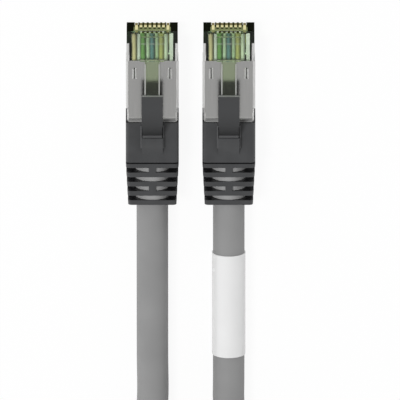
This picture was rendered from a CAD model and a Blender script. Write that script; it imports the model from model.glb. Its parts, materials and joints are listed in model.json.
"""Looks of a shielded 8P8C patch cord: two plugs side by side, their cord wound in a tied coil behind them.

Sizes are in millimetres in this file and go through mm() into Blender's metres. A place on a plug is
(x, d, z): x from the plug's middle, d behind its nose and z above the cord's axis, as in the CAD part.
"""
import json
import math
from itertools import product

import bmesh
import bpy
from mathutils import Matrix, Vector


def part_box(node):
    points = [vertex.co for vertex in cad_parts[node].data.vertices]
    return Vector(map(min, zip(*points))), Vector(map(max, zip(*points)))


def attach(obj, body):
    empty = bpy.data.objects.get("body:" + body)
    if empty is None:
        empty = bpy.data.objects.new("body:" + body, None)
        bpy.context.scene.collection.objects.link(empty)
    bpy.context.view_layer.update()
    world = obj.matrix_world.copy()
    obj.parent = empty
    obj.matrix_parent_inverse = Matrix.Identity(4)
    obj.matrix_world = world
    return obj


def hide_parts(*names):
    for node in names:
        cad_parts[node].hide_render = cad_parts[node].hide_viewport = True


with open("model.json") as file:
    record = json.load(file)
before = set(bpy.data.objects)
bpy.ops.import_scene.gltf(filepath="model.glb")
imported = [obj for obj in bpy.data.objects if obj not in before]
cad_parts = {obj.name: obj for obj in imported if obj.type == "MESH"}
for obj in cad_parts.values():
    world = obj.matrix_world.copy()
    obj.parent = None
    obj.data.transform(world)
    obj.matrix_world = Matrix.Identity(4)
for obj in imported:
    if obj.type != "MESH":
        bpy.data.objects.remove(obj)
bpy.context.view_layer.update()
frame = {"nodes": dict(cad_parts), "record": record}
nodes = frame["nodes"]
SIDES = ("a", "b")
SLOT_OF = {part["node"]: part["material_slot"] for part in frame["record"]["subparts"]}
BODY_OF = {node: body for body, names in frame["record"]["behaviour"]["bodies"].items() for node in names}

# ---- sizes, read from the frame ----------------------------------------------------------------------


def mm(value):
    return value * 0.001


def to_mm(value):
    return value * 1000


HOUSING = {s: [[to_mm(c) for c in corner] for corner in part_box(f"housing_{s}")] for s in SIDES}
PLUG_X = {s: (HOUSING[s][0][0] + HOUSING[s][1][0]) / 2 for s in SIDES}
NOSE_Y = HOUSING["a"][1][1]
NOSE_TOP = HOUSING["a"][1][2]
AXIS_Z = (HOUSING["a"][0][2] + NOSE_TOP) / 2


def at(side, x, d, z):
    """A place on a plug, in the row frame."""
    return Vector((PLUG_X[side] + x, NOSE_Y - d, AXIS_Z + z))


def plug_place(side, point):
    """Where a point in metres lies on its plug: x, depth behind the nose, height above the cord's axis."""
    return to_mm(point.x) - PLUG_X[side], NOSE_Y - to_mm(point.y), to_mm(point.z) - AXIS_Z


# ---- camera ------------------------------------------------------------------------------------------

FRAME_PX = 400              # width and height of the photograph
PX_PER_MM = 4.395
PHOTO_MID_X = 190.57        # pixel column midway between the plugs
PHOTO_NOSE_Y = 30.95        # pixel row of the nose's upper edge
CAMERA_TILT = 17.6          # degrees from straight down, towards the plug noses
DISTANCE = 4000.0           # far away, since the photograph shows next to no perspective
SENSOR = 36.0
CLIP_END = 10               # metres


def make_camera():
    tilt = math.radians(CAMERA_TILT)
    rows_down = FRAME_PX / 2 - PHOTO_NOSE_Y
    target = Vector((mm((FRAME_PX / 2 - PHOTO_MID_X) / PX_PER_MM),
                     mm(NOSE_Y - rows_down / (PX_PER_MM * math.cos(tilt))), mm(NOSE_TOP)))
    data = bpy.data.cameras.new("photo_camera")
    data.sensor_width = SENSOR
    data.lens = SENSOR * DISTANCE / (FRAME_PX / PX_PER_MM)
    data.clip_end = CLIP_END
    camera = bpy.data.objects.new("photo_camera", data)
    bpy.context.collection.objects.link(camera)
    camera.rotation_euler = (-tilt, 0, 0)
    forward = Vector((0, -math.sin(tilt), -math.cos(tilt)))
    camera.location = target - forward * mm(DISTANCE)
    bpy.context.scene.camera = camera


# ---- the cord's route --------------------------------------------------------------------------------

CORD_D = 7.2
CORD_R = CORD_D / 2
CORD_START = 39.7           # where the free cord starts in the boot, behind the nose
RUN_LEAD = 3                # from there it goes straight on for this far
RUN_A_ROUTE = [
    (-8.7, -27, 4.2), (-8.7, -36, 3.8), (-8.7, -46, 3.6), (-8.7, -58, 3.6), (-8.7, -69.3, 3.6),
    (-9.5, -75.7, 3.65), (-11.6, -81.8, 3.75), (-15.1, -87.2, 3.9)]
RUN_B_ROUTE = [
    (8.7, -25, 4.2), (8.7, -30, 3.9), (8.7, -40, 3.85), (8.7, -58, 3.85), (8.7, -64, 3.85),
    (8.7, -69.3, 4.05), (9.5, -75.7, 4.8), (11.6, -81.8, 6.05), (15.1, -87.2, 7.4)]
COIL_AT = (0.0, -127.2)
COIL_R = 40.0               # of the outermost turn, where the coil starts and ends
COIL_STEP = 7.6             # between neighbouring turns, and between the two layers
COIL_FROM = 128.7           # degrees at which the coil starts, and degrees through which it goes round
COIL_TURN = 1002.6
TIE_UNDER = 0.45            # the tie lifts the coil by this much
COIL_LOW = CORD_R + TIE_UNDER
CLIMB_TURN = 180.0          # degrees of the climb to the upper layer, halfway through the coil
DROP_TURN = 90              # degrees over which the coil's end comes down again, and how far it comes down
DROP = 2.4
COIL_SPANS = 72
SPAN_STEPS = 6              # points that smooth_line makes between two points of the route
ROUTE_STEP = 2.2            # distance of the route's points in the end
LENGTH_SLACK = 1e-9


def coil_point(u):
    """A point on the middle line of the coil, u degrees from its start."""
    climb = min(1, max(0, (u - COIL_TURN / 2 + CLIMB_TURN / 2) / CLIMB_TURN))
    drop = max(0, (u - COIL_TURN + DROP_TURN) / DROP_TURN)
    r = COIL_R - COIL_STEP * min(u, COIL_TURN - u) / 360
    a = math.radians(COIL_FROM + u)
    return Vector((COIL_AT[0] + r * math.cos(a), COIL_AT[1] + r * math.sin(a),
                   COIL_LOW + COIL_STEP * climb * climb * (3 - 2 * climb) - DROP * drop * drop))


def smooth_line(points, per_span):
    """A centripetal Catmull-Rom curve through the points."""
    ends = [points[0] * 2 - points[1]] + points + [points[-1] * 2 - points[-2]]
    line = []
    for i in range(1, len(ends) - 2):
        p = ends[i - 1:i + 3]
        t = [0.0]
        for a, b in zip(p, p[1:]):
            t.append(t[-1] + (b - a).length ** 0.5)
        for k in range(per_span):
            u = t[1] + (t[2] - t[1]) * k / per_span
            a1 = p[0].lerp(p[1], (u - t[0]) / (t[1] - t[0]))
            a2 = p[1].lerp(p[2], (u - t[1]) / (t[2] - t[1]))
            a3 = p[2].lerp(p[3], (u - t[2]) / (t[3] - t[2]))
            b1 = a1.lerp(a2, (u - t[0]) / (t[2] - t[0]))
            b2 = a2.lerp(a3, (u - t[1]) / (t[3] - t[1]))
            line.append(b1.lerp(b2, (u - t[1]) / (t[2] - t[1])))
    line.append(points[-1].copy())
    return line


def length_of(line):
    return sum((b - a).length for a, b in zip(line, line[1:]))


def even_steps(line, step):
    """The same line with its points at even distances of about a step."""
    total = length_of(line)
    count = max(2, round(total / step))
    gap = total / count
    even, passed, wanted = [line[0].copy()], 0.0, gap
    for a, b in zip(line, line[1:]):
        span = (b - a).length
        while passed + span >= wanted - LENGTH_SLACK and len(even) < count:
            even.append(a.lerp(b, (wanted - passed) / span))
            wanted += gap
        passed += span
    even.append(line[-1].copy())
    return even


def cord_route():
    """The cord's middle line, from the mouth of boot a through the coil to the mouth of boot b."""
    mouth = {s: at(s, 0, CORD_START, 0) for s in SIDES}
    straight = {s: mouth[s] + Vector((0, -RUN_LEAD, 0)) for s in SIDES}
    coil = [coil_point(COIL_TURN * k / COIL_SPANS) for k in range(COIL_SPANS + 1)]
    there = [mouth["a"], straight["a"]] + [Vector(p) for p in RUN_A_ROUTE]
    back = [Vector(p) for p in reversed(RUN_B_ROUTE)] + [straight["b"], mouth["b"]]
    return even_steps(smooth_line(there + coil + back, SPAN_STEPS), ROUTE_STEP)


ROUTE = cord_route()

# ---- mesh helpers ------------------------------------------------------------------------------------

TUBE_ANGLE = 60             # degrees between faces from which an edge is sharp: of a tube, a rounded piece,
EDGE_ANGLE = 35             # a wire and a blade
WIRE_ANGLE = 50
BLADE_ANGLE = 40
FLAT_ANGLE = 2              # degrees up to which neighbouring faces are joined into one flat face
WELD = 0.002                # vertices nearer to each other than this are one
FACE_WEIGHT = 100           # large faces keep their own normal beside a rounded edge
BEVEL_SEGMENTS = 2


def link_object(name, mesh):
    obj = bpy.data.objects.new(name, mesh)
    bpy.context.collection.objects.link(obj)
    return obj


def shade_smooth(mesh, angle=None):
    """Smooth shading, with sharp edges where faces meet at more than an angle."""
    for poly in mesh.polygons:
        poly.use_smooth = True
    if angle is not None:
        mesh.set_sharp_from_angle(angle=math.radians(angle))


def fix_normals(mesh):
    bm = bmesh.new()
    bm.from_mesh(mesh)
    bmesh.ops.recalc_face_normals(bm, faces=bm.faces)
    bm.to_mesh(mesh)
    bm.free()


def tube_mesh(name, points, radius, sides):
    """A tube with closed ends round a line of points."""
    verts, faces = [], []
    last = len(points) - 1
    for i, p in enumerate(points):
        along = points[min(i + 1, last)] - points[max(i - 1, 0)]
        out = along.cross(Vector((0, 0, 1))).normalized()
        over = out.cross(along).normalized()
        for k in range(sides):
            a = 2 * math.pi * k / sides
            verts.append(mm(p + out * (radius * math.cos(a)) + over * (radius * math.sin(a))))
    for i in range(last):
        for k in range(sides):
            a, b = i * sides + k, i * sides + (k + 1) % sides
            faces.append((a, b, b + sides, a + sides))
    faces.append(tuple(reversed(range(sides))))
    faces.append(tuple(range(last * sides, (last + 1) * sides)))
    mesh = bpy.data.meshes.new(name)
    mesh.from_pydata(verts, [], faces)
    fix_normals(mesh)
    shade_smooth(mesh, TUBE_ANGLE)
    return mesh


def clean_copy(node):
    """A new mesh for a copy of a CAD node, and the copy itself as a bmesh with its flat faces joined."""
    mesh = nodes[node].data.copy()
    mesh.name = node + "_looks"
    bm = bmesh.new()
    bm.from_mesh(mesh)
    bmesh.ops.remove_doubles(bm, verts=bm.verts, dist=mm(WELD))
    bmesh.ops.dissolve_limit(bm, angle_limit=math.radians(FLAT_ANGLE), verts=bm.verts, edges=bm.edges,
                             delimit={"NORMAL"})
    bmesh.ops.recalc_face_normals(bm, faces=bm.faces)
    mesh.materials.clear()
    return mesh, bm


def cut(bm, side, across=(), along=(), up=()):
    """Split the faces of a mesh at the given x, depths and heights on its plug."""
    planes = [((mm(PLUG_X[side] + x), 0, 0), (1, 0, 0)) for x in across]
    planes += [((0, mm(NOSE_Y - d), 0), (0, 1, 0)) for d in along]
    planes += [((0, 0, mm(AXIS_Z + z)), (0, 0, 1)) for z in up]
    for place, normal in planes:
        everything = bm.verts[:] + bm.edges[:] + bm.faces[:]
        bmesh.ops.bisect_plane(bm, geom=everything, plane_co=place, plane_no=normal)


def apply_modifiers(obj):
    depsgraph = bpy.context.evaluated_depsgraph_get()
    mesh = bpy.data.meshes.new_from_object(obj.evaluated_get(depsgraph))
    obj.modifiers.clear()
    old = obj.data
    obj.data = mesh
    bpy.data.meshes.remove(old)


def stand_for(piece, node):
    """Let a piece move with a CAD node's body, and show in place of the node."""
    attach(piece, BODY_OF[node])
    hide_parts(node)


# ---- materials ---------------------------------------------------------------------------------------

PLASTIC_IOR = 1.5
JACKET_IOR = 1.48
CLEAR_IOR = 1.56
NO_GLOSS = 1.01             # an IOR at which a surface mirrors next to nothing
USUAL_STOPS = (0.3, 0.7)    # a noise lies between these values nearly everywhere
DARK = ((0.004, 0.005, 0.002), (0.007, 0.008, 0.004))
CLEAR_DENSITY = 240.0       # per metre, how much the clear plastic takes away
BRAID_TURN = 45             # degrees between the braid's wires and the plug
BRAID_SCALE = 1400.0
UP = (0, 0, 1)
WIRE_LIT = (-0.25, 0, 0.97)     # the way that the bright side of a wire looks


def new_material(name, **inputs):
    mat = bpy.data.materials.new(name)
    mat.use_nodes = True
    shader = mat.node_tree.nodes["Principled BSDF"]
    for key, value in inputs.items():
        shader.inputs[key.replace("_", " ")].default_value = value
    return mat, mat.node_tree, shader


def add(tree, kind, **settings):
    node = tree.nodes.new(kind)
    for key, value in settings.items():
        if key in node.bl_rna.properties:
            setattr(node, key, value)
        else:
            node.inputs[key.replace("_", " ")].default_value = value
    return node


def grey(v):
    return (v, v, v)


def scaled(colour, k):
    return tuple(c * k for c in colour)


def grain(tree, scale, detail=3.0, roughness=0.5, stretch=(1, 1, 1)):
    """Noise in the object's own space, scale in bumps per millimetre."""
    coords = add(tree, "ShaderNodeTexCoord")
    mapping = add(tree, "ShaderNodeMapping", Scale=[to_mm(scale) * s for s in stretch])
    noise = add(tree, "ShaderNodeTexNoise", Scale=1.0, Detail=detail, Roughness=roughness)
    tree.links.new(coords.outputs["Object"], mapping.inputs["Vector"])
    tree.links.new(mapping.outputs["Vector"], noise.inputs["Vector"])
    return noise.outputs["Fac"]


def facing(tree, way):
    """The cosine between the surface's normal and a way, in the object's own space."""
    coords = add(tree, "ShaderNodeTexCoord")
    dot = add(tree, "ShaderNodeVectorMath", operation="DOT_PRODUCT")
    dot.inputs[1].default_value = way
    tree.links.new(coords.outputs["Normal"], dot.inputs[0])
    return dot.outputs["Value"]


def ramp(tree, source, stops):
    """The colour that belongs to a value, between (value, colour) stops."""
    node = add(tree, "ShaderNodeValToRGB")
    elements = node.color_ramp.elements
    while len(elements) < len(stops):
        elements.new(0.5)
    for element, (place, colour) in zip(elements, stops):
        element.position = place
        element.color = (*colour, 1)
    tree.links.new(source, node.inputs["Fac"])
    return node.outputs["Color"]


def colour_by(tree, shader, pattern, low, high, stops=USUAL_STOPS):
    """Let a pattern move the surface's colour from low to high."""
    tree.links.new(ramp(tree, pattern, list(zip(stops, (low, high)))), shader.inputs["Base Color"])


def rough_by(tree, shader, pattern, low, high):
    """Let a pattern move the surface's roughness from low to high."""
    node = add(tree, "ShaderNodeMapRange", To_Min=low, To_Max=high)
    tree.links.new(pattern, node.inputs["Value"])
    tree.links.new(node.outputs["Result"], shader.inputs["Roughness"])


def bump_by(tree, shader, pattern, depth):
    """Let a pattern raise the surface, to a real depth."""
    node = add(tree, "ShaderNodeBump", Strength=1.0, Distance=mm(depth))
    tree.links.new(pattern, node.inputs["Height"])
    tree.links.new(node.outputs["Normal"], shader.inputs["Normal"])


def jacket_material(name, base):
    mat, tree, shader = new_material(name, IOR=JACKET_IOR)
    colour_by(tree, shader, grain(tree, scale=0.09, detail=2), scaled(base, 0.93), scaled(base, 1.06))
    fine = grain(tree, scale=6.0, detail=4)
    rough_by(tree, shader, fine, low=0.48, high=0.66)
    bump_by(tree, shader, fine, depth=0.012)
    return mat


def moulded(tree, shader):
    """The fine grain of the boot's mould."""
    fine = grain(tree, scale=9.0)
    rough_by(tree, shader, fine, low=0.38, high=0.52)
    bump_by(tree, shader, fine, depth=0.006)


def boot_material(name, base):
    mat, tree, shader = new_material(name, IOR=PLASTIC_IOR)
    colour_by(tree, shader, grain(tree, scale=0.3), scaled(base, 0.9), scaled(base, 1.1))
    moulded(tree, shader)
    return mat


def lever_material(name, base):
    """The boot's plastic, darker where the lever slopes down to its hinge."""
    mat, tree, shader = new_material(name, IOR=PLASTIC_IOR, Specular_IOR_Level=0.25)
    colour_by(tree, shader, facing(tree, UP), scaled(base, 0.25), base, stops=(0.72, 0.98))
    moulded(tree, shader)
    return mat


def shell_material(name, base):
    """Bright metal, brushed along the plug."""
    mat, tree, shader = new_material(name, Metallic=1.0)
    brushed = grain(tree, scale=3.0, detail=4, stretch=(1, 0.05, 1))
    colour_by(tree, shader, brushed, scaled(base, 0.97), scaled(base, 1.02))
    rough_by(tree, shader, brushed, low=0.13, high=0.2)
    return mat


def metal_material(name, base, rough, metallic=1.0, scale=4.0):
    mat, tree, shader = new_material(name, Metallic=metallic)
    noise = grain(tree, scale)
    colour_by(tree, shader, noise, scaled(base, 0.92), base)
    rough_by(tree, shader, noise, *rough)
    bump_by(tree, shader, noise, depth=0.004)
    return mat


def clear_material(name, left):
    """Left is the share of each colour that the plastic lets through."""
    mat, tree, shader = new_material(name, IOR=CLEAR_IOR, Transmission_Weight=1.0, Base_Color=(1, 1, 1, 1))
    rough_by(tree, shader, grain(tree, scale=1.5, detail=2), low=0.01, high=0.06)
    volume = add(tree, "ShaderNodeVolumeAbsorption", Density=CLEAR_DENSITY, Color=(*left, 1))
    out = tree.nodes["Material Output"]
    tree.links.new(volume.outputs["Volume"], out.inputs["Volume"])
    # The lamps light the wires through the clear wall.
    path = add(tree, "ShaderNodeLightPath")
    through = add(tree, "ShaderNodeBsdfTransparent")
    mix = add(tree, "ShaderNodeMixShader")
    tree.links.new(path.outputs["Is Shadow Ray"], mix.inputs["Fac"])
    tree.links.new(shader.outputs["BSDF"], mix.inputs[1])
    tree.links.new(through.outputs["BSDF"], mix.inputs[2])
    tree.links.new(mix.outputs["Shader"], out.inputs["Surface"])
    return mat


def liner_material(name, low, high):
    mat, tree, shader = new_material(name, IOR=JACKET_IOR)
    fine = grain(tree, scale=5.0, detail=4)
    colour_by(tree, shader, fine, low, high)
    rough_by(tree, shader, fine, low=0.4, high=0.55)
    bump_by(tree, shader, fine, depth=0.01)
    return mat


def frosted_material(name, low, high):
    mat, tree, shader = new_material(name, IOR=CLEAR_IOR, Transmission_Weight=0.25)
    fine = grain(tree, scale=4.0)
    colour_by(tree, shader, fine, low, high)
    rough_by(tree, shader, fine, low=0.35, high=0.5)
    return mat


def shade_material(name, low, high, rough, ior=NO_GLOSS):
    """A place that looks shaded in the photograph, such as the inside of a clear wall."""
    mat, tree, shader = new_material(name, IOR=ior)
    noise = grain(tree, scale=1.5, detail=2)
    colour_by(tree, shader, noise, low, high)
    rough_by(tree, shader, noise, *rough)
    return mat


def tinted_material(name, base):
    return shade_material(name, scaled(base, 0.85), base, (0.3, 0.4))


def wire_material(name, base, share):
    """Share is how much of the colour is left low on the wire's sides, between its neighbours."""
    mat, tree, shader = new_material(name, IOR=PLASTIC_IOR)
    colour_by(tree, shader, facing(tree, WIRE_LIT), scaled(base, share), base, stops=(0.5, 0.92))
    noise = grain(tree, scale=1.2, detail=2, stretch=(1, 0.15, 1))
    rough_by(tree, shader, noise, low=0.25, high=0.4)
    bump_by(tree, shader, noise, depth=0.01)
    return mat


def guide_material(name, base):
    mat, tree, shader = new_material(name, IOR=PLASTIC_IOR, Roughness=0.3, Transmission_Weight=0.1)
    colour_by(tree, shader, grain(tree, scale=1.0), scaled(base, 0.95), base)
    return mat


def braid_material(name, low, high):
    """Two sets of bands that cross, raised where either is high."""
    mat, tree, shader = new_material(name, Metallic=1.0, Roughness=0.35)
    coords = add(tree, "ShaderNodeTexCoord")
    weave = add(tree, "ShaderNodeMath", operation="MAXIMUM")
    for slot, turn in enumerate((BRAID_TURN, -BRAID_TURN)):
        mapping = add(tree, "ShaderNodeMapping", Rotation=(0, 0, math.radians(turn)))
        wave = add(tree, "ShaderNodeTexWave", Scale=BRAID_SCALE)
        tree.links.new(coords.outputs["Object"], mapping.inputs["Vector"])
        tree.links.new(mapping.outputs["Vector"], wave.inputs["Vector"])
        tree.links.new(wave.outputs["Fac"], weave.inputs[slot])
    colour_by(tree, shader, weave.outputs["Value"], low, high, stops=(0.2, 0.8))
    bump_by(tree, shader, weave.outputs["Value"], depth=0.05)
    return mat


def label_material(name, base):
    mat, tree, shader = new_material(name, IOR=PLASTIC_IOR)
    cloud = grain(tree, scale=0.15, detail=2)
    colour_by(tree, shader, cloud, scaled(base, 0.97), base)
    rough_by(tree, shader, cloud, low=0.2, high=0.3)
    bump_by(tree, shader, cloud, depth=0.03)
    return mat


def tie_material(name, low, high):
    """Loops of a hook-and-loop tape."""
    mat, tree, shader = new_material(name, Roughness=0.9, Sheen_Weight=0.4)
    loops = grain(tree, scale=5.0, detail=6, roughness=0.7)
    colour_by(tree, shader, loops, low, high, stops=(0.35, 0.65))
    bump_by(tree, shader, loops, depth=0.15)
    return mat


# A look's name, the function that makes it, and the values for that function.
LOOKS = [
    ("clear_green_plastic", clear_material, (0.6, 0.92, 0.1)),
    ("clear_housing", clear_material, (0.6, 0.92, 0.5)),
    ("front_rim", tinted_material, (0.25, 0.285, 0.13)),
    ("olive_front", tinted_material, (0.035, 0.04, 0.01)),
    ("shaded_underside", shade_material, *DARK, (0.35, 0.45), PLASTIC_IOR),
    ("shaded_front", shade_material, *DARK, (0.35, 0.45)),
    ("frosted_edge", frosted_material, (0.42, 0.43, 0.41), (0.47, 0.48, 0.46)),
    ("gold_contacts", metal_material, (0.7, 0.645, 0.255), (0.12, 0.22)),
    ("gold_shade", tinted_material, (0.3, 0.255, 0.12)),
    ("pale_plastic", guide_material, (0.96, 0.92, 0.95)),
    ("wire_orange", wire_material, (0.83, 0.66, 0.37), 0.35),
    ("wire_blue", wire_material, (0.175, 0.31, 0.56), 0.35),
    ("wire_green", wire_material, (0.23, 0.455, 0.16), 0.35),
    ("wire_brown", wire_material, (0.98, 0.78, 0.5), 0.4),
    ("wire_white", wire_material, (0.87, 0.9, 0.95), 0.5),
    ("wire_outer_white", wire_material, (0.99, 0.97, 0.98), 0.55),
    ("copper", metal_material, (0.5, 0.28, 0.15), (0.35, 0.5)),
    ("foil", metal_material, (0.85, 0.85, 0.86), (0.15, 0.35), 1.0, 1.5),
    ("braid", braid_material, grey(0.25), grey(0.72)),
    ("ferrule_metal", metal_material, (0.6, 0.6, 0.6), (0.25, 0.4)),
    ("shell_metal", shell_material, (0.85, 0.845, 0.83)),
    ("shell_edge", metal_material, (0.66, 0.657, 0.65), (0.3, 0.4), 0.25),
    ("shell_rear", metal_material, (0.35, 0.35, 0.345), (0.35, 0.45), 0.15),
    ("bead_shade", metal_material, (0.58, 0.578, 0.57), (0.2, 0.3)),
    ("bead_rear", metal_material, (0.23, 0.23, 0.227), (0.35, 0.45), 0.15),
    ("lance_metal", metal_material, (0.54, 0.537, 0.53), (0.3, 0.4), 0.25),
    ("boot_plastic", boot_material, (0.05, 0.051, 0.053)),
    ("boot_edge", boot_material, (0.09, 0.091, 0.094)),
    ("boot_shade", boot_material, (0.016, 0.016, 0.018)),
    ("hood_front", boot_material, (0.24, 0.25, 0.24)),
    ("lever_pad", lever_material, (0.053, 0.054, 0.056)),
    ("liner_plastic", liner_material, grey(0.3), grey(0.34)),
    ("cord_jacket", jacket_material, grey(0.244)),
    ("label_film", label_material, grey(0.75)),
    ("tie_fabric", tie_material, grey(0.018), grey(0.07)),
]
MATERIALS = {name: make(name, *values) for name, make, *values in LOOKS}
# Pieces whose look isn't that of their slot in the record, without the side in their names.
LOOK_OF = {"housing": "clear_housing", "boot_lever": "lever_pad",
           "wire_white_orange": "wire_outer_white", "wire_white_brown": "wire_outer_white"}


def dress(obj, slot, look=None):
    """Give a piece its slot of the record, with that slot's look or another one."""
    obj.data.materials.clear()
    obj.data.materials.append(MATERIALS[look or slot])


def dress_cad_nodes():
    for name, obj in nodes.items():
        for material_slot in obj.material_slots:
            material_slot.material = MATERIALS[SLOT_OF[name]]


def paint(piece, side, look, chosen):
    """Give a second look to the faces that are chosen by x without its sign, depth, height and normal."""
    materials = piece.data.materials
    if MATERIALS[look] not in materials[:]:
        materials.append(MATERIALS[look])
    index = materials[:].index(MATERIALS[look])
    for face in piece.data.polygons:
        x, d, z = plug_place(side, face.center)
        if chosen(abs(x), d, z, face.normal):
            face.material_index = index


# ---- cord and wires ----------------------------------------------------------------------------------

CORD_SIDES = 48
WIRE_NAMES = ["wire_white_orange", "wire_orange", "wire_white_green", "wire_blue",
              "wire_white_blue", "wire_green", "wire_white_brown", "wire_brown"]
INSULATION = 0.3            # wall of a wire's insulation
CORE_STUB = 0.35            # how far a wire's copper core stands out of its cut end


def make_cord():
    cord = link_object("cord_looks", tube_mesh("cord_looks", ROUTE, CORD_R, CORD_SIDES))
    dress(cord, "cord_jacket")
    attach(cord, "root")
    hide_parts("cord_run_a", "cord_coil", "cord_run_b")
    return cord


def make_wire(node):
    """An insulated wire with its copper core in its cut end."""
    mesh, bm = clean_copy(node)
    front = max(bm.faces, key=lambda f: f.calc_center_median().y)
    bmesh.ops.translate(bm, verts=front.verts[:], vec=(0, mm(-CORE_STUB), 0))
    bmesh.ops.inset_individual(bm, faces=[front], thickness=mm(INSULATION), depth=0)
    stub = bmesh.ops.extrude_discrete_faces(bm, faces=[front])["faces"][0]
    bmesh.ops.translate(bm, verts=stub.verts[:], vec=(0, mm(CORE_STUB), 0))
    for face in [stub] + [f for e in stub.edges for f in e.link_faces]:
        face.material_index = 1
    bm.to_mesh(mesh)
    bm.free()
    shade_smooth(mesh, WIRE_ANGLE)
    wire = link_object(node + "_looks", mesh)
    dress(wire, SLOT_OF[node], LOOK_OF.get(node[:-2]))
    mesh.materials.append(MATERIALS["copper"])
    stand_for(wire, node)


# ---- rounded pieces ----------------------------------------------------------------------------------

PIN_PITCH = 1.02
DARK_FROM = 4.2             # the housing's side walls, outside this half-width, look dark from above
HOUSING_LOW = -3.1          # only the housing's underside is lower
FRONT_D = 0.15              # faces before this depth belong to the nose's front
POCKET_D = 1                # the contact pockets' fronts end before this depth
TEETH_TOP = 0.7             # the walls between the contact pockets look dark below this height
POCKET_TOP = 2.0            # height of the pockets' roofs, and half the height of their edges
POCKET_EDGE = 0.2
DOT_D = 0.42                # dark dots between the contacts, low on the front of the latch's root
DOT_Z = (3.6, 4.34)
DOT_HALF = 0.27
DOT_X = [k * PIN_PITCH for k in range(-2, 3)]
DOT_ROOM = 0.1              # the cuts beside a dot reach this much further than the dot
LATCH_STEP_D = (2.4, 4)     # depths between which the latch steps down from its root
LATCH_FROM = 7.0            # depth of the latch's shoulders
LATCH_LINE = 1.45           # frosted lines run along the latch's narrow part, outside this half-width
LATCH_HALF = 2              # the narrow part's sides lie within this half-width, behind this depth
LATCH_SIDE_D = 6
LEVER_LINE = 24.1           # the lever's last edge, before its hinge, is worn light from here
HOOD_D = 13.75              # the hood's front edge lies before this depth and above this height
HOOD_Z = 9.2
GROOVE_D = (30.9, 31.9)     # groove round the boot in front of the strain relief
GROOVE_TOP = 4.2
RAIL_X = 2.55               # the boot's two rails: their middle, half their width, their foot and their end
RAIL_HALF = 0.25
RAIL_Z = 4.8
RAIL_END = 28
SLOTS_D = (32.2, 41.0)      # walls of the strain relief's slots lie between these depths
SHELL_LINE = 5.45           # the bent edges of the shell are bright outside this half-width
SHELL_EDGE_Z = 2.5
SHELL_WAIST = 18.3          # the shell's bead lies behind this depth, and its smooth part before it
BEAD_Z = 3.49               # the bead's front and rear slopes lie further from the axis than this
BEAD_REAR_Z = 3.4
BEAD_END = 21.35
CUTS = {"housing": ((-DARK_FROM, DARK_FROM), (POCKET_D,), (TEETH_TOP,)),
        "latch": ((-LATCH_LINE, LATCH_LINE), (LATCH_FROM,), ()),
        "shell": ((-SHELL_LINE, SHELL_LINE), (SHELL_WAIST,), ())}
# Widths of the rounded edges; the shell's bends are in its sheet.
ROUNDING = {"housing": 0.12, "shell": 0, "latch": 0.12, "boot": 0.13, "boot_lever": 0.25}


def dotted(x):
    return min(abs(x - dot) for dot in DOT_X) < DOT_HALF


# How squarely a face looks a way: that part of its normal is above one of these.
SQUARELY, FULLY, MOSTLY, HALFWAY = 0.95, 0.9, 0.7, 0.5
FAIRLY, PARTLY, SLIGHTLY, BARELY = 0.4, 0.3, 0.2, 0.03

# The second looks of a piece: the faces for which a rule holds, with x without its sign, depth, height and
# normal, take its look. Where two rules hold, the later one counts.
SECOND_LOOKS = [
    ("housing", "shaded_underside",
     lambda x, d, z, n: n.z < -FULLY and z < HOUSING_LOW and (x > DARK_FROM or d < POCKET_D)),
    ("housing", "shaded_front", lambda x, d, z, n: n.y > HALFWAY and d < FRONT_D and x > DARK_FROM),
    ("housing", "front_rim", lambda x, d, z, n: n.y > HALFWAY and d < FRONT_D and x < DARK_FROM),
    ("housing", "olive_front",
     lambda x, d, z, n: n.y > HALFWAY and d < POCKET_D and x < DARK_FROM
     and z < (TEETH_TOP if d < FRONT_D else POCKET_TOP)),
    ("housing", "olive_front",
     lambda x, d, z, n: abs(n.y) < SQUARELY and d < POCKET_D and x < DARK_FROM
     and abs(z - POCKET_TOP) < POCKET_EDGE),
    ("latch", "olive_front", lambda x, d, z, n: d < DOT_D and DOT_Z[0] < z < DOT_Z[1] and dotted(x)),
    ("latch", "frosted_edge", lambda x, d, z, n: abs(n.x) > PARTLY and x < LATCH_HALF and d > LATCH_SIDE_D),
    ("latch", "frosted_edge", lambda x, d, z, n: n.y > FAIRLY and LATCH_STEP_D[0] < d < LATCH_STEP_D[1]),
    ("latch", "frosted_edge", lambda x, d, z, n: n.z > PARTLY and x > LATCH_LINE and d > LATCH_FROM),
    ("boot_lever", "boot_shade", lambda x, d, z, n: abs(n.x) > SLIGHTLY),
    ("boot_lever", "boot_edge", lambda x, d, z, n: n.z > PARTLY and abs(n.x) < SLIGHTLY and d > LEVER_LINE),
    ("boot_lever", "hood_front", lambda x, d, z, n: n.y > MOSTLY and d < HOOD_D and z > HOOD_Z),
    ("boot", "boot_shade", lambda x, d, z, n: abs(n.y) > MOSTLY and SLOTS_D[0] < d < SLOTS_D[1]),
    ("boot", "boot_shade", lambda x, d, z, n: GROOVE_D[0] < d < GROOVE_D[1] and z < GROOVE_TOP),
    ("boot", "boot_edge",
     lambda x, d, z, n: n.z > PARTLY and abs(x - RAIL_X) < RAIL_HALF and z > RAIL_Z and d < RAIL_END),
    ("shell", "shell_edge",
     lambda x, d, z, n: n.z > SLIGHTLY and x > SHELL_LINE and d < SHELL_WAIST and z > SHELL_EDGE_Z),
    ("shell", "bead_shade", lambda x, d, z, n: n.y > BARELY and d > SHELL_WAIST and abs(z) > BEAD_Z),
    ("shell", "bead_rear", lambda x, d, z, n: n.y < -BARELY and d > SHELL_WAIST and abs(z) > BEAD_REAR_Z),
    ("shell", "shell_rear", lambda x, d, z, n: abs(n.z) > FULLY and d > BEAD_END),
]


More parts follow.
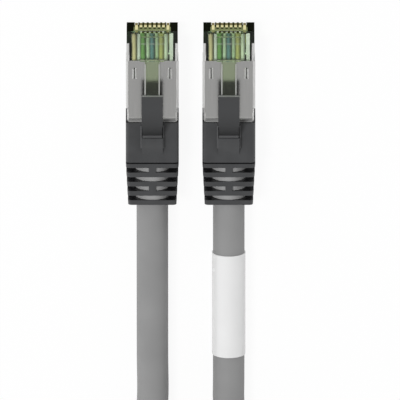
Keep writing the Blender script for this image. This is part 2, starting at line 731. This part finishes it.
def cut_dots(bm, side):
    """Split the front of the latch's root at both sides of each dark dot."""
    def near(v):
        d, z = plug_place(side, v.co)[1:]
        return d < DOT_D + DOT_ROOM and z < DOT_Z[1] + DOT_ROOM

    for x in [x + half for x in DOT_X for half in (-DOT_HALF, DOT_HALF)]:
        front = [v for v in bm.verts if near(v)]
        front += [part for part in bm.edges[:] + bm.faces[:] if all(near(v) for v in part.verts)]
        bmesh.ops.bisect_plane(bm, geom=front, plane_co=(mm(PLUG_X[side] + x), 0, 0), plane_no=(1, 0, 0))


def rounded_copy(stem, side):
    """A copy of a CAD node, cut where its look changes and rounded at its edges."""
    node = f"{stem}_{side}"
    width = ROUNDING[stem]
    mesh, bm = clean_copy(node)
    cut(bm, side, *CUTS.get(stem, ()))
    if stem == "latch":
        cut_dots(bm, side)
    bm.to_mesh(mesh)
    bm.free()
    piece = link_object(node + "_looks", mesh)
    shade_smooth(mesh, None if width else EDGE_ANGLE)
    if width:
        bevel = piece.modifiers.new("edges", "BEVEL")
        bevel.width = mm(width)
        bevel.segments = BEVEL_SEGMENTS
        bevel.limit_method = "ANGLE"
        bevel.angle_limit = math.radians(EDGE_ANGLE)
        bevel.use_clamp_overlap = True
        bevel.miter_outer = "MITER_ARC"
    flat_faces = piece.modifiers.new("flat_faces", "WEIGHTED_NORMAL")
    flat_faces.keep_sharp = True
    flat_faces.weight = FACE_WEIGHT
    apply_modifiers(piece)
    stand_for(piece, node)
    dress(piece, SLOT_OF[node], LOOK_OF.get(stem))
    return piece


def make_rounded():
    for side in SIDES:
        for stem in ROUNDING:
            piece = rounded_copy(stem, side)
            for _, look, chosen in [row for row in SECOND_LOOKS if row[0] == stem]:
                paint(piece, side, look, chosen)


# ---- contact blades ----------------------------------------------------------------------------------

PINS = 8
INNER_BLADES = 3 * PIN_PITCH    # the outer two blades lie outside this half-width
BLADE_FRONT = 0.15          # front and underside of the blades in the solids, and their corner radius there
BLADE_BOTTOM = -2.9
CAD_ROUND = 1.2
BLADE_LOW = -3.2            # underside, corner radius and half-widths of the blades here
BLADE_ROUND = 0.15
BLADE_HALF = {"inner": 0.3, "outer": 0.33}
BRIGHT_Z = (-1.25, 0.6)     # heights between which the front of a blade is bright
NEAR = 0.01


def widen_blade(v, side):
    """Move a vertex of a blade out to wider faces, a lower underside and a tighter corner."""
    x, d, z = plug_place(side, v.co)
    middle_pin = (PINS - 1) / 2
    pin = min(PINS - 1, max(0, round(x / PIN_PITCH + middle_pin)))
    middle = (pin - middle_pin) * PIN_PITCH
    half = BLADE_HALF["outer" if pin in (0, PINS - 1) else "inner"]
    v.co.x = mm(PLUG_X[side] + middle + math.copysign(half, x - middle))
    across, below = BLADE_FRONT + CAD_ROUND - d, BLADE_BOTTOM + CAD_ROUND - z
    if across > -NEAR and below > -NEAR:
        a = math.atan2(max(below, 0), max(across, 0))
        v.co.y = mm(NOSE_Y - BLADE_FRONT - BLADE_ROUND * (1 - math.cos(a)))
        v.co.z = mm(AXIS_Z + BLADE_LOW + BLADE_ROUND * (1 - math.sin(a)))
    elif z < BLADE_BOTTOM + NEAR:
        v.co.z = mm(AXIS_Z + BLADE_LOW)


def shaded_blade(x, d, z, n):
    """The blades are brown below their bright middles, and the inner ones above them too."""
    return n.z > -HALFWAY and (z < BRIGHT_Z[0] or z > BRIGHT_Z[1] and x < INNER_BLADES)


def make_blades():
    for side in SIDES:
        node = f"contact_blades_{side}"
        mesh, bm = clean_copy(node)
        for v in bm.verts:
            widen_blade(v, side)
        cut(bm, side, up=BRIGHT_Z)
        bm.to_mesh(mesh)
        bm.free()
        piece = link_object(node + "_looks", mesh)
        dress(piece, SLOT_OF[node])
        paint(piece, side, "gold_shade", shaded_blade)
        shade_smooth(mesh, BLADE_ANGLE)
        stand_for(piece, node)


# ---- lances ------------------------------------------------------------------------------------------

LANCE_X = 4.0
LANCE_D = (9.0, 11.35)      # the lips of a lance run between these depths
LANCE_BEND = 0.3            # before their end they turn outwards, by this much
LANCE_SPREAD = 0.12
LANCE_HALF = 0.31
LANCE_R = 0.24
LANCE_SIDES = 12
SHELL_TOP = 3.5


def make_lances():
    """Rounded lips along both sides of each lance of the shell, over and under the plug."""
    for side, middle, lip, face in product(SIDES, (-LANCE_X, LANCE_X), (-1, 1), (1, -1)):
        x, z = middle + lip * LANCE_HALF, face * SHELL_TOP
        line = [at(side, x, LANCE_D[0], z), at(side, x, LANCE_D[1] - LANCE_BEND, z),
                at(side, x + lip * LANCE_SPREAD, LANCE_D[1], z)]
        piece = link_object("lance_lip", tube_mesh("lance_lip", line, LANCE_R, LANCE_SIDES))
        dress(piece, "shell_metal", "lance_metal")
        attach(piece, "root")


# ---- floor and light ---------------------------------------------------------------------------------

FLOOR_HALF = 3000
FLOOR_DOWN = 0.02           # keeps the floor clear of the faces that rest on it
FLOOR_WHITE = 0.85
FLOOR_GLOW = 0.93           # share of plain white in what the camera and gloss see of the floor
SKY = [(0.0, grey(0.95)), (0.35, grey(0.8)), (0.8, grey(0.36))]
KEY_PLACE = (-0.5, 0.1, 1.33)   # metres, as are the next two
KEY_AIM = (0, -0.03, 0)
KEY_SIZE = 0.4
KEY_POWER = 13


def make_floor():
    mesh = bpy.data.meshes.new("floor")
    corners = [(-1, -1), (1, -1), (1, 1), (-1, 1)]
    mesh.from_pydata([(mm(FLOOR_HALF) * x, mm(FLOOR_HALF) * y, 0) for x, y in corners], [], [(0, 1, 2, 3)])
    floor = link_object("floor", mesh)
    floor.location.z = mm(-FLOOR_DOWN)
    mat = bpy.data.materials.new("floor_white")
    mat.use_nodes = True
    tree = mat.node_tree
    tree.nodes.clear()
    diffuse = add(tree, "ShaderNodeBsdfDiffuse", Color=(*grey(FLOOR_WHITE), 1))
    glow = add(tree, "ShaderNodeEmission", Strength=1.0)
    path = add(tree, "ShaderNodeLightPath")
    seen = add(tree, "ShaderNodeMath", operation="MAXIMUM")
    share = add(tree, "ShaderNodeMath", operation="MULTIPLY")
    share.inputs[1].default_value = FLOOR_GLOW
    mix = add(tree, "ShaderNodeMixShader")
    out = add(tree, "ShaderNodeOutputMaterial")
    tree.links.new(path.outputs["Is Camera Ray"], seen.inputs[0])
    tree.links.new(path.outputs["Is Glossy Ray"], seen.inputs[1])
    tree.links.new(seen.outputs["Value"], share.inputs[0])
    tree.links.new(share.outputs["Value"], mix.inputs["Fac"])
    tree.links.new(diffuse.outputs["BSDF"], mix.inputs[1])
    tree.links.new(glow.outputs["Emission"], mix.inputs[2])
    tree.links.new(mix.outputs["Shader"], out.inputs["Surface"])
    mesh.materials.append(mat)


def make_world():
    """A pale sky that gets darker towards the top, which the shell mirrors."""
    world = bpy.data.worlds.new("studio")
    world.use_nodes = True
    bpy.context.scene.world = world
    tree = world.node_tree
    tree.nodes.clear()
    coords = add(tree, "ShaderNodeTexCoord")
    split = add(tree, "ShaderNodeSeparateXYZ")
    back = add(tree, "ShaderNodeBackground")
    out = add(tree, "ShaderNodeOutputWorld")
    tree.links.new(coords.outputs["Generated"], split.inputs["Vector"])
    tree.links.new(ramp(tree, split.outputs["Z"], SKY), back.inputs["Color"])
    tree.links.new(back.outputs["Background"], out.inputs["Surface"])


def make_key_light():
    data = bpy.data.lights.new("key", "AREA")
    data.shape = "RECTANGLE"
    data.size = data.size_y = KEY_SIZE
    data.energy = KEY_POWER
    key = bpy.data.objects.new("key", data)
    bpy.context.collection.objects.link(key)
    key.location = KEY_PLACE
    key.rotation_euler = (Vector(KEY_AIM) - Vector(KEY_PLACE)).to_track_quat("-Z", "Y").to_euler()
    key.visible_transmission = False
    key.visible_glossy = False


# ---- build -------------------------------------------------------------------------------------------

make_camera()
cord = make_cord()
dress_cad_nodes()
make_rounded()
make_lances()
make_blades()
for side in SIDES:
    for stem in WIRE_NAMES:
        make_wire(f"{stem}_{side}")
make_floor()
make_world()
make_key_light()

bpy.context.scene.view_settings.view_transform = "Standard"
